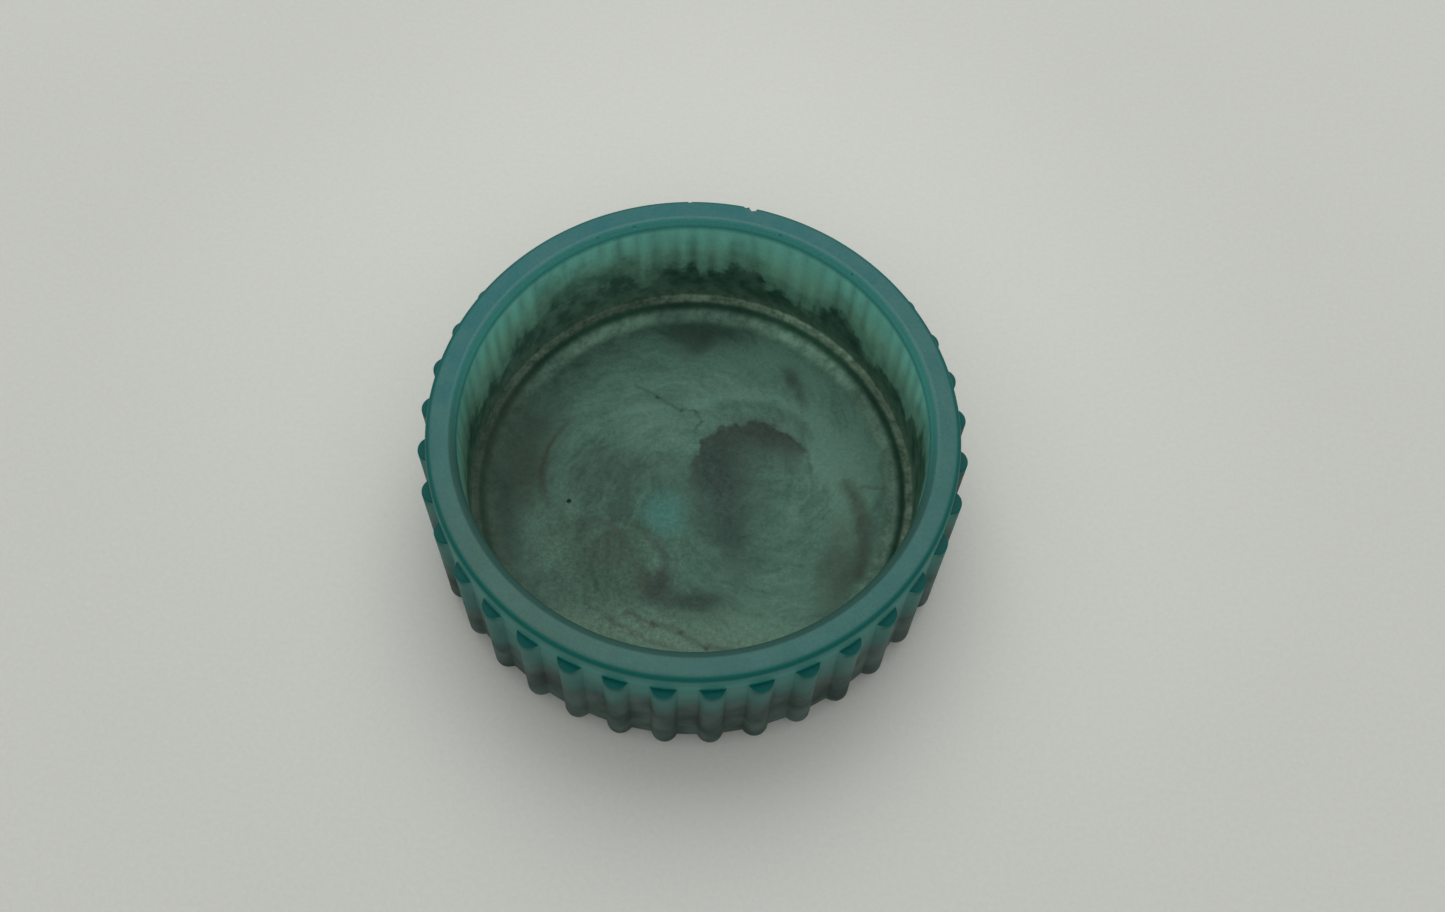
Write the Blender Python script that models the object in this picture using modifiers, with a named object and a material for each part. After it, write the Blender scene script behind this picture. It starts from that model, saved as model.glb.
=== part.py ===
"""Small round trinket dish, cast in one piece from teal resin.

A thick wall stands on a flat floor. Outside, half-round ribs run down the wall from just below the
rim and end in domed tips above the base. Inside, a narrow ledge and a wide cove lead from the wall
down to the floor. The origin is the centre of the base, on the surface that the dish stands on.
All sizes are in metres.
"""

from math import acos, cos, degrees, pi, radians, sin

import bpy

MM = 0.001

# Overall
HEIGHT = 31.0 * MM
WALL_RADIUS = 45.0 * MM
WALL_THICKNESS = 5.25 * MM
FLOOR_THICKNESS = 4.6 * MM

# Rounded edges
RIM_OUTER_ROUNDING = 1.5 * MM
RIM_INNER_ROUNDING = 1.2 * MM
BASE_ROUNDING = 2.5 * MM

# Inside corner, from the wall down to the floor
LEDGE_WIDTH = 1.25 * MM
LEDGE_COVE = 0.5 * MM
LEDGE_RISE = 1.65 * MM
FLOOR_COVE = 5.0 * MM

# Ribs
RIB_COUNT = 36
RIB_RADIUS = 2.3 * MM
RIB_REACH = 1.6 * MM
RIB_TOP_DROP = 4.0 * MM
RIB_TIP_HEIGHT = 0.25 * MM

# Faceting: three wall facets to each rib
WALL_STEPS = 3 * RIB_COUNT
RIB_STEPS = 16
AXIS_MERGE = 0.01 * MM

RESIN_COLOUR = (0.045, 0.150, 0.130, 1.0)
RESIN_ROUGHNESS = 0.42
RESIN_METALLIC = 0.0


def arc(centre_r, centre_z, radius, start_deg, end_deg, pieces):
    """Points of an arc in the (radius, height) plane, both ends included."""
    points = []
    for i in range(pieces + 1):
        angle = radians(start_deg + (end_deg - start_deg) * i / pieces)
        points.append((centre_r + radius * cos(angle), centre_z + radius * sin(angle)))
    return points


def dish_profile():
    """Half section of the dish: from the middle of the floor out, up, over the rim and down."""
    bore_r = WALL_RADIUS - WALL_THICKNESS
    ledge_z = FLOOR_THICKNESS + LEDGE_RISE
    cove_turn = acos(1.0 - LEDGE_RISE / FLOOR_COVE)
    cove_centre_r = bore_r - LEDGE_WIDTH - FLOOR_COVE * sin(cove_turn)
    points = [(0.0, FLOOR_THICKNESS)]
    points += arc(cove_centre_r, FLOOR_THICKNESS + FLOOR_COVE, FLOOR_COVE,
                  -90, degrees(cove_turn) - 90, 5)
    points += arc(bore_r - LEDGE_COVE, ledge_z + LEDGE_COVE, LEDGE_COVE, -90, 0, 3)
    points += arc(bore_r + RIM_INNER_ROUNDING, HEIGHT - RIM_INNER_ROUNDING,
                  RIM_INNER_ROUNDING, 180, 90, 3)
    points += arc(WALL_RADIUS - RIM_OUTER_ROUNDING, HEIGHT - RIM_OUTER_ROUNDING,
                  RIM_OUTER_ROUNDING, 90, 0, 3)
    points += arc(WALL_RADIUS - BASE_ROUNDING, BASE_ROUNDING, BASE_ROUNDING, 0, -90, 4)
    points.append((0.0, 0.0))
    return points


def rib_profile():
    """Half section of one rib: a flat top, a straight side and a domed tip."""
    points = [(0.0, HEIGHT - RIB_TOP_DROP)]
    points.append((RIB_RADIUS, HEIGHT - RIB_TOP_DROP))
    points += arc(0.0, RIB_TIP_HEIGHT + RIB_RADIUS, RIB_RADIUS, 0, -90, 4)
    points[-1] = (0.0, RIB_TIP_HEIGHT)
    return points


def turned(name, profile, steps, collection):
    """A solid of revolution about its own Z axis: a profile with a Screw modifier."""
    mesh = bpy.data.meshes.new(name)
    edges = [(i, i + 1) for i in range(len(profile) - 1)]
    mesh.from_pydata([(r, 0.0, z) for r, z in profile], edges, [])
    solid = bpy.data.objects.new(name, mesh)
    collection.objects.link(solid)
    screw = solid.modifiers.new("turn", 'SCREW')
    screw.axis = 'Z'
    screw.angle = 2.0 * pi
    screw.steps = steps
    screw.render_steps = steps
    screw.use_merge_vertices = True
    screw.merge_threshold = AXIS_MERGE
    screw.use_smooth_shade = True
    return solid


def make_ribs(collection):
    """One column for each place round the wall, each standing proud of it by RIB_REACH."""
    centre_r = WALL_RADIUS + RIB_REACH - RIB_RADIUS
    for i in range(RIB_COUNT):
        angle = 2.0 * pi * i / RIB_COUNT
        rib = turned(f"rib_{i + 1:02d}", rib_profile(), RIB_STEPS, collection)
        rib.location = (centre_r * cos(angle), centre_r * sin(angle), 0.0)
        rib.rotation_euler.z = angle
        rib.hide_render = True
        rib.display_type = 'WIRE'


def join_ribs(dish, rib_collection):
    """The wall and its ribs are one casting, so they are one solid."""
    union = dish.modifiers.new("ribs", 'BOOLEAN')
    union.operation = 'UNION'
    union.solver = 'EXACT'
    union.operand_type = 'COLLECTION'
    union.collection = rib_collection
    dish.modifiers.new("even_shading", 'WEIGHTED_NORMAL')


def resin_material():
    """Satin teal casting resin."""
    resin = bpy.data.materials.new("teal_resin")
    resin.use_nodes = True
    shader = resin.node_tree.nodes["Principled BSDF"]
    shader.inputs["Base Color"].default_value = RESIN_COLOUR
    shader.inputs["Roughness"].default_value = RESIN_ROUGHNESS
    shader.inputs["Metallic"].default_value = RESIN_METALLIC
    return resin


def new_collection(name):
    collection = bpy.data.collections.new(name)
    bpy.context.scene.collection.children.link(collection)
    return collection


def main():
    for old in list(bpy.data.objects):
        bpy.data.objects.remove(old)
    parts = new_collection("ribbed_resin_dish")
    rib_columns = new_collection("rib_columns")
    dish = turned("cast_dish", dish_profile(), WALL_STEPS, parts)
    dish.data.materials.append(resin_material())
    make_ribs(rib_columns)
    join_ribs(dish, rib_columns)


main()
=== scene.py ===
# %% [markdown]
# # A small ribbed dish of cast resin
# The real dish is one casting. Clear resin is tinted teal, a little dark pigment is dropped in while
# it is wet, and the mix is poured into a silicone mould. It comes out frosted, because the mould's
# own skin is frosted. This lesson rebuilds it in three parts: the shape, the finish and the setting.
#
# The model that the dish is measured by is loaded first. Everything here is in metres, and the
# loaded model gives the outer size, so that the fine dish fills the same space.

# %% Load the measured model
from math import acos, atan2, cos, degrees, pi, radians, sin, sqrt

import bmesh
import bpy
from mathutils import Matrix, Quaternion, Vector


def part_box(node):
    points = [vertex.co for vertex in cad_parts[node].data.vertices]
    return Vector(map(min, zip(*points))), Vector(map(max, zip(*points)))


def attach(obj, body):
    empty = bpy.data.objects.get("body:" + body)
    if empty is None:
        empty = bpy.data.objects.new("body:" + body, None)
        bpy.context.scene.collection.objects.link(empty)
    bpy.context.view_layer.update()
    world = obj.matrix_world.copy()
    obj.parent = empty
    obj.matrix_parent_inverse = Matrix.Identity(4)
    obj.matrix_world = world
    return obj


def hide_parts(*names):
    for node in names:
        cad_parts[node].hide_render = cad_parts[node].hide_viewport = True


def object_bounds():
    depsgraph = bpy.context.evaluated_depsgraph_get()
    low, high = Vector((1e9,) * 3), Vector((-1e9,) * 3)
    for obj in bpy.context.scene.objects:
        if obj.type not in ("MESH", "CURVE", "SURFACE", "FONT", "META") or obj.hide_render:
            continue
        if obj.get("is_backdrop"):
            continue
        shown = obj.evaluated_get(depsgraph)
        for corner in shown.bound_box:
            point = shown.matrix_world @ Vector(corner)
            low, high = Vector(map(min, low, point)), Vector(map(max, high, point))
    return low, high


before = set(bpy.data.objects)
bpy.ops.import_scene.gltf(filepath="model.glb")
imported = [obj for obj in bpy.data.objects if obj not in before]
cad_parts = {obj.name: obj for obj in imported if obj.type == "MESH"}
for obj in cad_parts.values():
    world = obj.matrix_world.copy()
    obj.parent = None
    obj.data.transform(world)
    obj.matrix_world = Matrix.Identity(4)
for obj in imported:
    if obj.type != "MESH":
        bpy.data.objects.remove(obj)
cad_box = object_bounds()
MM = 0.001
far_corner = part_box("cast_dish")[1]
reach = far_corner[0]
height = far_corner[2]
print(f"over the ribs {2 * reach / MM:.1f} mm, height {height / MM:.1f} mm")

# %% [markdown]
# ## The camera
# Someone stands over a table and looks down at the dish from the front, tilted slightly. A camera
# could be aimed with a Track To constraint, but then it can't lean. So its turn is worked out from
# the direction of sight, and the lean is added after that, about the line of sight.

# %% Place the camera
camera_place = Vector((10.8, -126.8, 285.6)) * MM
camera_aim = Vector((5.3, -5.4, 31.0)) * MM
camera_lean = radians(3.5)

lens_data = bpy.data.cameras.new("camera")
lens_data.lens = 42.35
lens_data.sensor_width = 36.0
lens_data.clip_start = 0.01
camera = bpy.data.objects.new("camera", lens_data)
bpy.context.scene.collection.objects.link(camera)
camera.rotation_mode = 'QUATERNION'
sight = (camera_aim - camera_place).normalized()
camera.location = camera_place
camera.rotation_quaternion = sight.to_track_quat('-Z', 'Y') @ Quaternion((0, 0, 1), camera_lean)
bpy.context.scene.camera = camera
print(f"camera stands {(camera_aim - camera_place).length / MM:.0f} mm from the rim")

# %% [markdown]
# ## The sizes of the dish
# The outer size comes from the measured model. The rest are the dish's own sizes: how thick the
# wall is, how far a rib stands out of it, how round the edges are, and how the floor meets the wall.

# %% Name the sizes
rib_count = 36
rib_radius = 2.3 * MM
rib_reach = 1.6 * MM
wall_radius = reach - rib_reach
bore_radius = wall_radius - 5.25 * MM
floor_height = 4.6 * MM
rib_top = height - 4.0 * MM
rib_tip = 0.25 * MM
rib_top_edge = 0.25 * MM
rib_fillet = 0.5 * MM
rib_shyness = 0.01 * MM
base_rounding = 2.5 * MM
rim_outer_rounding = 1.5 * MM
rim_inner_rounding = 1.2 * MM
ledge_rise = 1.65 * MM
ledge_width = 1.25 * MM
ledge_lip = 0.2 * MM
ledge_cove = 0.5 * MM
floor_cove = 5.0 * MM
pitch = 2 * pi / rib_count
rib_centre = wall_radius + rib_reach - rib_radius
print(f"wall radius {wall_radius / MM:.2f} mm, one rib every {degrees(pitch):.0f} degrees")

# %% [markdown]
# ## How the skin is divided
# The skin is drawn as rings of points, one above the other, with the points of every ring standing
# in the same upright columns. Columns an even distance apart would make a rib's steep sides ragged,
# so they are spread by the rib itself: evenly along its round front, then a few for the small fillet
# at its foot, and one in the middle of the gap.

# %% Spread the columns round the dish
front_columns = 9
foot_steps = (0.07, 0.2, 0.4, 0.75)
foot_turn = acos((rib_centre ** 2 + rib_radius ** 2 - wall_radius ** 2) / (2 * rib_centre * rib_radius))
front_turn = pi - foot_turn
half_rib = []
for i in range(front_columns + 1):
    turn = front_turn * i / front_columns
    half_rib.append(atan2(rib_radius * sin(turn), rib_centre + rib_radius * cos(turn)))
for step in foot_steps:
    half_rib.append(half_rib[front_columns] + step * MM / wall_radius)
half_rib.append(pitch / 2)

column_angles = []
for rib in range(rib_count):
    column_angles += [rib * pitch - angle for angle in reversed(half_rib[1:])]
    column_angles += [rib * pitch + angle for angle in half_rib[:-1]]
column_angles.sort()
print(f"{len(column_angles)} columns, {len(column_angles) // rib_count} to a rib")

# %% [markdown]
# ## Where the skin lies
# At any height, a point of the outside lies on the wall or on the nearest rib, whichever is further
# out. A rib is a round column sunk in the wall. It is drawn a hundredth of a millimetre shy of its
# measured radius. Its tip is a dome, so near the base its section shrinks, and the edge of its flat
# top is just broken. Running the two shapes together over a short distance gives the fillet that a
# mould has there, with no crease.

# %% Work out the outside
def rib_section(z):
    """Radius of the rib's round section at height z."""
    dome_centre = rib_tip + rib_radius
    section = rib_radius - rib_shyness
    if z < dome_centre:
        section = sqrt(max(rib_radius ** 2 - (dome_centre - z) ** 2, 0.0))
    if z > rib_top - rib_top_edge:
        section -= rib_top_edge - sqrt(max(rib_top_edge ** 2 - (z - rib_top + rib_top_edge) ** 2, 0.0))
    return section


def ribbed(angle, z, plain_radius):
    """Distance of the outside from the axis, where the bare wall would have plain_radius."""
    off_rib = (angle + pitch / 2) % pitch - pitch / 2
    side = rib_centre * sin(off_rib)
    section = rib_section(z)
    if abs(side) >= section:
        return plain_radius
    rib_front = rib_centre * cos(off_rib) + sqrt(section ** 2 - side ** 2)
    meeting = max(rib_fillet - abs(rib_front - plain_radius), 0.0)
    return max(rib_front, plain_radius) + meeting ** 2 / (4 * rib_fillet)


print(f"crest of a rib at {ribbed(0.0, height / 2, wall_radius) / MM:.2f} mm")

# %% [markdown]
# ## The path that the rings follow
# A turner would describe the dish by its half section. Each stretch here is a list of stations, a
# station being the bare radius, the height, and whether ribs stand on it. The stretches run from
# under the base, up the outside, over the rim and down the inside to the floor.

# %% List the stations
def arc_stations(centre_r, centre_z, radius, start, end, steps, ribs=False):
    """Stations along an arc from one direction to another, in degrees from straight out."""
    made = []
    for i in range(steps + 1):
        turn = radians(start + (end - start) * i / steps)
        made.append((centre_r + radius * cos(turn), centre_z + radius * sin(turn), ribs))
    return made


flat_radius = wall_radius - base_rounding
underside = [(flat_radius * share, 0.0, False) for share in (0.1, 0.4, 0.75, 0.97)]
base_edge = arc_stations(flat_radius, base_rounding, base_rounding, -90, 0, 9, True)
outer_wall = [(wall_radius, rib_top * share, True) for share in (0.25, 0.45, 0.65, 0.85)]
rib_ends = [(wall_radius, rib_top - rib_top_edge * (1 - sin(radians(turn))), True)
            for turn in (0, 25, 50, 75, 90)]
neck = [(wall_radius, rib_top, False), (wall_radius, rib_top + 0.6 * MM, False)]
rim_outer = arc_stations(wall_radius - rim_outer_rounding, height - rim_outer_rounding,
                         rim_outer_rounding, 0, 90, 8)
rim_middle = [((wall_radius - rim_outer_rounding + bore_radius + rim_inner_rounding) / 2, height, False)]
rim_inner = arc_stations(bore_radius + rim_inner_rounding, height - rim_inner_rounding,
                         rim_inner_rounding, 90, 180, 7)
print(f"{len(underside + base_edge + outer_wall + rib_ends + neck)} rings outside")

# %% List the stations inside
ledge_height = floor_height + ledge_rise
ledge_edge = bore_radius - ledge_width
cove_turn = acos(1 - ledge_rise / floor_cove)
cove_centre = ledge_edge - floor_cove * sin(cove_turn)
cove_end = degrees(cove_turn) - 90
inner_wall = [(bore_radius, ledge_height + (height - ledge_height) * share, False)
              for share in (0.75, 0.5, 0.25)]
ledge_foot = arc_stations(bore_radius - ledge_cove, ledge_height + ledge_cove, ledge_cove, 0, -90, 5)
ledge_top = [(ledge_edge + ledge_lip, ledge_height, False)]
cove = arc_stations(cove_centre, floor_height + floor_cove, floor_cove, cove_end - 3, -90, 12)
floor = [(cove_centre * share, floor_height, False) for share in (0.97, 0.8, 0.5, 0.2, 0.05)]

outside = underside + base_edge + outer_wall + rib_ends + neck + rim_outer
inside = rim_middle + rim_inner + inner_wall + ledge_foot + ledge_top + cove + floor
stations = outside + inside
print(f"{len(stations)} rings in all; the floor is flat to {cove_centre / MM:.1f} mm from the axis")

# %% [markdown]
# ## Drawing the dish, ring by ring
# The dish could be a plain lathe shape with 36 ribs joined to it by a Boolean, as the measured model
# is. That leaves a hard crease along each rib. So it is drawn as a single skin: a circle is added
# under the base, then its edge is extruded again and again, and each new ring is laid at the next
# station. The last ring is filled to close the floor.

# %% Add the first ring
bpy.ops.object.select_all(action='DESELECT')
bpy.ops.mesh.primitive_circle_add(vertices=len(column_angles), radius=stations[0][0],
                                  fill_type='NGON', location=(0, 0, 0))
dish = bpy.context.object
dish.name = "cast_resin_dish"
dish.data.name = "cast_resin_dish"
even_step = 2 * pi / len(column_angles)
for point in dish.data.vertices:
    place = round((atan2(point.co.y, point.co.x) % (2 * pi)) / even_step) % len(column_angles)
    angle = column_angles[place]
    point.co = (stations[0][0] * cos(angle), stations[0][0] * sin(angle), 0.0)
print(f"first ring: {len(dish.data.vertices)} points, {stations[0][0] / MM:.2f} mm from the axis")


# %% Extrude ring after ring
def lay_ring(skin, plain_radius, z, ribs):
    """Move the selected ring to its station. A point keeps its own direction from the axis."""
    for point in skin.verts:
        if point.select:
            angle = atan2(point.co.y, point.co.x)
            out = ribbed(angle, z, plain_radius) if ribs else plain_radius
            point.co = (out * cos(angle), out * sin(angle), z)


bpy.ops.object.mode_set(mode='EDIT')
bpy.ops.mesh.select_mode(type='EDGE')
bpy.ops.mesh.select_all(action='SELECT')
bpy.ops.mesh.region_to_loop()
for plain_radius, z, ribs in stations[1:]:
    bpy.ops.mesh.extrude_edges_move()
    lay_ring(bmesh.from_edit_mesh(dish.data), plain_radius, z, ribs)
bpy.ops.mesh.edge_face_add()
bpy.ops.mesh.select_all(action='SELECT')
bpy.ops.mesh.normals_make_consistent(inside=False)
bpy.ops.object.mode_set(mode='OBJECT')
print(f"{len(dish.data.polygons)} faces, {len(dish.data.vertices)} points")

# %% [markdown]
# ## Chips and bubbles
# A casting is never perfect. Two small bites are gone from the rim's back edge, where it caught on
# the mould, a few bubbles broke open at the inner edge, and one left a pinhole in the floor. They
# could be drawn as dark dots, but an edge seen from the side shows at once that nothing is missing.
# So small lumpy balls are cut out of the skin with one Boolean. A chip's ball is drawn out long and
# stands at a slant, because a chip flies off down the outside of an edge. Two balls overlap, where a
# chip has a double bite. The manifold solver copes with that, and it is quick on a fine closed skin.

# %% Make the cutters
# Each flaw is the place and radius of a ball, in millimetres.
chips = [(-5.5, 44.70, 29.9, 0.44), (5.9, 44.62, 29.9, 0.84), (4.6, 44.84, 29.9, 0.50)]
bubbles = [(-14.7, 37.4, 31.05, 0.46), (11.1, 38.7, 31.05, 0.42),
           (-20.8, 34.5, 30.95, 0.28), (24.3, 32.2, 30.95, 0.30)]
pinholes = [(-21.9, -4.9, 4.55, 0.38)]
chip_slant = radians(24)
chip_stretch = 3.8
chip_lumpiness = 0.16


def add_ball(x, y, z, radius, slant=0.0, stretch=1.0):
    """A ball to cut with."""
    bpy.ops.mesh.primitive_ico_sphere_add(subdivisions=3, radius=radius * MM,
                                          location=(x * MM, y * MM, z * MM),
                                          rotation=(slant, 0.0, 0.0), scale=(1.0, 1.0, stretch))
    return bpy.context.object


bpy.ops.object.select_all(action='DESELECT')
balls = []
for chip in chips:
    ball = add_ball(*chip, chip_slant, chip_stretch)
    for point in ball.data.vertices:
        x, y, z = (distance / MM for distance in point.co)
        point.co *= 1.0 + chip_lumpiness * sin(9.0 * x) * cos(7.0 * y + 5.0 * z)
    balls.append(ball)
balls += [add_ball(*flaw) for flaw in bubbles + pinholes]
for ball in balls:
    ball.select_set(True)
bpy.context.view_layer.objects.active = balls[0]
bpy.ops.object.join()
flaw_cutter = bpy.context.object
print(f"{len(balls)} small flaws to cut")

# %% Cut them and shade the skin
bpy.ops.object.select_all(action='DESELECT')
bpy.context.view_layer.objects.active = dish
dish.select_set(True)
cut = dish.modifiers.new("flaws", 'BOOLEAN')
cut.operation = 'DIFFERENCE'
cut.solver = 'MANIFOLD'
cut.object = flaw_cutter
bpy.ops.object.modifier_apply(modifier=cut.name)
bpy.data.objects.remove(flaw_cutter)
bpy.ops.object.shade_smooth_by_angle(angle=radians(35))
print(f"{len(dish.data.polygons)} faces after the cuts")

# %% [markdown]
# ## Wiring nodes in code
# The finish is made of nodes only. In the node editor one would drag them out by hand. Here a few
# short helpers do the same: each adds one node, feeds its inputs from sockets or plain values, and
# hands back its output, so that a pattern reads like a formula.

# %% Helpers for nodes
def wire(tree, socket, source):
    """Feed a socket from another socket, or set it to a plain value."""
    if isinstance(source, bpy.types.NodeSocket):
        tree.links.new(source, socket)
    elif socket.type == 'RGBA' and not isinstance(source, float):
        socket.default_value = (*source, 1.0)
    else:
        socket.default_value = source


def maths(tree, operation, *sources, clamp=False):
    """One Math node."""
    node = tree.nodes.new('ShaderNodeMath')
    node.operation = operation
    node.use_clamp = clamp
    for socket, source in zip(node.inputs, sources):
        wire(tree, socket, source)
    return node.outputs[0]


def vectors(tree, operation, *sources, scale=None):
    """One Vector Math node."""
    node = tree.nodes.new('ShaderNodeVectorMath')
    node.operation = operation
    for socket, source in zip(node.inputs, sources):
        wire(tree, socket, source)
    if scale is not None:
        wire(tree, node.inputs["Scale"], scale)
    return node.outputs["Value" if operation in {'LENGTH', 'DOT_PRODUCT'} else "Vector"]


def fade(tree, value, start, end, low=0.0, high=1.0):
    """A smooth change from low, where value is start, to high, where it is end."""
    node = tree.nodes.new('ShaderNodeMapRange')
    node.interpolation_type = 'SMOOTHSTEP'
    for label, source in (("Value", value), ("From Min", start), ("From Max", end),
                          ("To Min", low), ("To Max", high)):
        wire(tree, node.inputs[label], source)
    return node.outputs["Result"]


def clouds(tree, position, size, detail=3.0, rough=0.55, output="Fac"):
    """Noise with lumps about size millimetres across."""
    node = tree.nodes.new('ShaderNodeTexNoise')
    wire(tree, node.inputs["Vector"], position)
    node.inputs["Scale"].default_value = 1.0 / size
    node.inputs["Detail"].default_value = detail
    node.inputs["Roughness"].default_value = rough
    return node.outputs[output]


def blend(tree, factor, first, second):
    """The first colour where factor is 0, the second where it is 1."""
    node = tree.nodes.new('ShaderNodeMix')
    node.data_type = 'RGBA'
    for place, source in ((0, factor), (6, first), (7, second)):
        wire(tree, node.inputs[place], source)
    return node.outputs[2]


print("helpers add one node each: Math, Vector Math, Map Range, Noise Texture and Mix")

# %% Helpers for node groups
def start_group(name, inputs, outputs):
    """A shader node group with named sockets, and the sockets of its two end nodes."""
    tree = bpy.data.node_groups.new(name, 'ShaderNodeTree')
    for label, kind in inputs:
        tree.interface.new_socket(label, in_out='INPUT', socket_type="NodeSocket" + kind)
    for label, kind in outputs:
        tree.interface.new_socket(label, in_out='OUTPUT', socket_type="NodeSocket" + kind)
    return tree, tree.nodes.new('NodeGroupInput').outputs, tree.nodes.new('NodeGroupOutput').inputs


def place_group(tree, group, **values):
    """One copy of a group. Half_size=... feeds its socket Half Size."""
    node = tree.nodes.new('ShaderNodeGroup')
    node.node_tree = group
    for label, source in values.items():
        wire(tree, node.inputs[label.replace("_", " ").title()], source)
    return node.outputs


print("a group's sockets can be named and fed by name")

# %% [markdown]
# ## The stirred look
# A drop of pigment in wet resin is drawn out by the stirring stick, so streaks follow the turn that
# the stick made. The group below turns the pattern's own position round the middle of the stir, most
# at the middle and less further out, and adds a slow wobble. Noise that reads such a position comes
# out in bent streaks. It measures in millimetres, which are handier here than metres.

# %% Group: stirred position
stirred, given, made = start_group(
    "stirred_position",
    [("Position", 'Vector'), ("Middle", 'Vector'), ("Turn", 'Float'), ("Wobble", 'Float')],
    [("Stirred", 'Vector')])
away = vectors(stirred, 'LENGTH', vectors(stirred, 'SUBTRACT', given["Position"], given["Middle"]))
turn_here = maths(stirred, 'MULTIPLY', fade(stirred, away, 0.0, 38.0, 1.0, 0.0), given["Turn"])
spin = stirred.nodes.new('ShaderNodeVectorRotate')
spin.rotation_type = 'Z_AXIS'
wire(stirred, spin.inputs["Vector"], given["Position"])
wire(stirred, spin.inputs["Center"], given["Middle"])
wire(stirred, spin.inputs["Angle"], turn_here)
slow_noise = clouds(stirred, given["Position"], 9.0, 2.0, output="Color")
wobble = vectors(stirred, 'SCALE', vectors(stirred, 'SUBTRACT', slow_noise, (0.5, 0.5, 0.5)),
                 scale=given["Wobble"])
wire(stirred, made["Stirred"], vectors(stirred, 'ADD', spin.outputs[0], wobble))
print(f"{stirred.name}: {len(stirred.nodes)} nodes")

# %% [markdown]
# ## Patches, threads and curls of pigment
# The dark pigment shows as soft patches, as thin threads, and as curls where a thread was dragged
# round. Painting them by hand in Texture Paint would need an image. Three small groups draw them
# instead, each adding its mark to the density that comes in, so that marks are laid one on another.

# %% Group: a patch
patch_group, given, made = start_group(
    "pigment_patch",
    [("Position", 'Vector'), ("Density", 'Float'), ("Centre", 'Vector'), ("Half Size", 'Vector'),
     ("Turn", 'Vector'), ("Softness", 'Float'), ("Strength", 'Float')],
    [("Density", 'Float')])
local = patch_group.nodes.new('ShaderNodeMapping')
local.vector_type = 'TEXTURE'
for label, source in (("Vector", "Position"), ("Location", "Centre"), ("Rotation", "Turn"),
                      ("Scale", "Half Size")):
    wire(patch_group, local.inputs[label], given[source])
from_centre = vectors(patch_group, 'LENGTH', local.outputs[0])
inside_edge = maths(patch_group, 'SUBTRACT', 1.0, given["Softness"])
outside_edge = maths(patch_group, 'ADD', 1.0, given["Softness"])
mark = fade(patch_group, from_centre, outside_edge, inside_edge)
wire(patch_group, made["Density"],
     maths(patch_group, 'MULTIPLY_ADD', mark, given["Strength"], given["Density"]))
print(f"{patch_group.name}: {len(patch_group.nodes)} nodes")

# %% Group: a thread
thread_group, given, made = start_group(
    "pigment_thread",
    [("Position", 'Vector'), ("Density", 'Float'), ("Start", 'Vector'), ("End", 'Vector'),
     ("Width", 'Float'), ("Strength", 'Float')],
    [("Density", 'Float')])
along = vectors(thread_group, 'SUBTRACT', given["End"], given["Start"])
offset = vectors(thread_group, 'SUBTRACT', given["Position"], given["Start"])
share = maths(thread_group, 'DIVIDE', vectors(thread_group, 'DOT_PRODUCT', offset, along),
              vectors(thread_group, 'DOT_PRODUCT', along, along), clamp=True)
nearest = vectors(thread_group, 'SCALE', along, scale=share)
gap = vectors(thread_group, 'LENGTH', vectors(thread_group, 'SUBTRACT', offset, nearest))
mark = fade(thread_group, gap, given["Width"], 0.0)
wire(thread_group, made["Density"],
     maths(thread_group, 'MULTIPLY_ADD', mark, given["Strength"], given["Density"]))
print(f"{thread_group.name}: {len(thread_group.nodes)} nodes")

# %% Group: a curl
curl_group, given, made = start_group(
    "pigment_curl",
    [("Position", 'Vector'), ("Density", 'Float'), ("Centre", 'Vector'), ("Radius", 'Float'),
     ("Towards", 'Vector'), ("Reach", 'Float'), ("Width", 'Float'), ("Strength", 'Float')],
    [("Density", 'Float')])
offset = vectors(curl_group, 'SUBTRACT', given["Position"], given["Centre"])
away = vectors(curl_group, 'LENGTH', offset)
off_line = maths(curl_group, 'ABSOLUTE', maths(curl_group, 'SUBTRACT', away, given["Radius"]))
facing = vectors(curl_group, 'DOT_PRODUCT', vectors(curl_group, 'NORMALIZE', offset), given["Towards"])
full_reach = maths(curl_group, 'MULTIPLY_ADD', given["Reach"], 0.6, 0.4)
ends = fade(curl_group, facing, given["Reach"], full_reach)
mark = maths(curl_group, 'MULTIPLY', fade(curl_group, off_line, given["Width"], 0.0), ends)
wire(curl_group, made["Density"],
     maths(curl_group, 'MULTIPLY_ADD', mark, given["Strength"], given["Density"]))
print(f"{curl_group.name}: {len(curl_group.nodes)} nodes")


# %% Lay marks on a density
def compass(bearing):
    """The direction at a bearing, in degrees anticlockwise from the right-hand side."""
    return (cos(radians(bearing)), sin(radians(bearing)), 0.0)


def lay_patches(tree, position, density, patches):
    """Soft ovals: x, y, half width, half length, turn in degrees, softness and strength of each."""
    for x, y, half_width, half_length, turn, softness, strength in patches:
        density = place_group(tree, patch_group, position=position, density=density,
                              centre=(x, y, 0.0), half_size=(half_width, half_length, 1.0),
                              turn=(0.0, 0.0, radians(turn)), softness=softness,
                              strength=strength)[0]
    return density


def lay_threads(tree, position, density, threads):
    """Thin lines from point to point: the points, width and strength of each."""
    for points, width, strength in threads:
        for start, end in zip(points, points[1:]):
            density = place_group(tree, thread_group, position=position, density=density,
                                  start=(*start, 0.0), end=(*end, 0.0), width=width,
                                  strength=strength)[0]
    return density


def lay_curls(tree, position, density, curls):
    """Parts of rings: x, y, radius, bearing, degrees to each side, width and strength of each."""
    for x, y, radius, bearing, half_span, width, strength in curls:
        density = place_group(tree, curl_group, position=position, density=density,
                              centre=(x, y, 0.0), radius=radius, towards=compass(bearing),
                              reach=cos(radians(half_span)), width=width, strength=strength)[0]
    return density


print("patches, threads and curls can be laid, with places in millimetres from the axis")

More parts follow.
